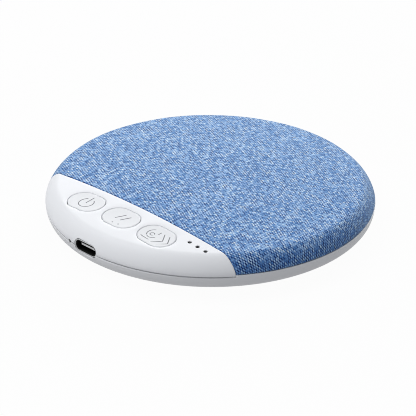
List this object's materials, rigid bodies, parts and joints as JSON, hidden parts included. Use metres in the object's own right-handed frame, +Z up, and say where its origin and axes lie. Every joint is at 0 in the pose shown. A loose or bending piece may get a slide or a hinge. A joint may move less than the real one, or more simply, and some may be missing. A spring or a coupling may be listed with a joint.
{
  "type": "bluetooth audio receiver",
  "caption": "Thin round wireless audio disc: fabric-covered speaker dome, white control panel with push buttons and indicator lights, USB-C socket, rubber feet.",
  "frame": {"origin": "middle of the disc at the level of the feet's soles", "axes": "+Z up out of the fabric dome, -Y towards the control panel and the USB-C socket, +X to the right when the panel faces the viewer"},
  "size_m": [0.11, 0.1098, 0.0178],
  "materials": {
    "white_plastic": "satin moulded white",
    "lower_plastic": "satin moulded white, very slightly greyer",
    "button_plastic": "satin moulded white",
    "woven_fabric": "blue melange plain weave",
    "dark_plastic": "satin black",
    "smoked_plastic": "polished smoked black",
    "steel": "satin nickel plate",
    "brass": "satin",
    "circuit_board": "green solder mask",
    "black_rubber": "matt",
    "foam": "open-cell foam",
    "foil": "satin foil",
    "chip_black": "matt moulding compound",
    "led_body": "clear yellow-white",
    "tongue_plastic": "moulded light grey",
    "connector_plastic": "natural nylon",
    "capacitor_case": "moulded tantalum case",
    "spider_cloth": "impregnated woven cloth",
    "cone_paper": "pressed black paper",
    "copper": "enamelled winding",
    "red_wire": "insulated wire",
    "black_wire": "insulated wire"
  },
  "bodies": {
    "housing": {"bottom_shell": "lower_plastic", "top_housing": "white_plastic", "grille_frame": "dark_plastic", "fabric_cover": "woven_fabric", "power_switch": "chip_black", "mode_switch": "chip_black", "sound_switch": "chip_black", "light_guide": "smoked_plastic", "indicator_led_1": "led_body", "indicator_led_2": "led_body", "indicator_led_3": "led_body", "main_board": "circuit_board", "usb_c_shell": "steel", "usb_c_tongue": "tongue_plastic", "microphone": "foil", "microphone_boot": "black_rubber", "bluetooth_module": "circuit_board", "bluetooth_shield_can": "foil", "amplifier_chip": "chip_black", "charge_chip": "chip_black", "power_inductor": "chip_black", "bulk_capacitor": "capacitor_case", "battery_socket": "connector_plastic", "battery_plug": "connector_plastic", "battery_pad": "foam", "battery_cell": "foil", "battery_lead_red": "red_wire", "battery_lead_black": "black_wire", "speaker_basket": "dark_plastic", "speaker_gasket": "foam", "speaker_yoke": "steel", "speaker_magnet": "steel", "speaker_top_plate": "steel", "speaker_surround": "black_rubber", "speaker_spider": "spider_cloth", "speaker_lead_red": "red_wire", "speaker_lead_black": "black_wire", "board_screw_1": "brass", "board_screw_2": "brass", "board_screw_3": "brass", "case_screw_1": "steel", "case_screw_2": "steel", "case_screw_3": "steel", "case_screw_4": "steel", "foot_1": "black_rubber", "foot_2": "black_rubber", "foot_3": "black_rubber", "foot_4": "black_rubber"},
    "power_key": {"power_button": "button_plastic", "power_plunger": "dark_plastic"},
    "mode_key": {"mode_button": "button_plastic", "mode_plunger": "dark_plastic"},
    "sound_key": {"sound_button": "button_plastic", "sound_plunger": "dark_plastic"},
    "driver_moving": {"speaker_cone": "cone_paper", "voice_coil": "copper", "dust_cap": "cone_paper"}
  },
  "joints": [
    {"name": "power_press", "type": "slide", "parent": "housing", "child": "power_key", "axis": [0, 0, -1], "range_m": [0, 0.0004], "stiffness_N_per_m": 1500},
    {"name": "mode_press", "type": "slide", "parent": "housing", "child": "mode_key", "axis": [0, 0, -1], "range_m": [0, 0.0004], "stiffness_N_per_m": 1500},
    {"name": "sound_press", "type": "slide", "parent": "housing", "child": "sound_key", "axis": [0, 0, -1], "range_m": [0, 0.0004], "stiffness_N_per_m": 1500},
    {"name": "driver_travel", "type": "slide", "parent": "housing", "child": "driver_moving", "axis": [0, 0, 1], "range_m": [-0.0008, 0.0008], "stiffness_N_per_m": 1000, "deforming": ["speaker_surround", "speaker_spider"]}
  ]
}
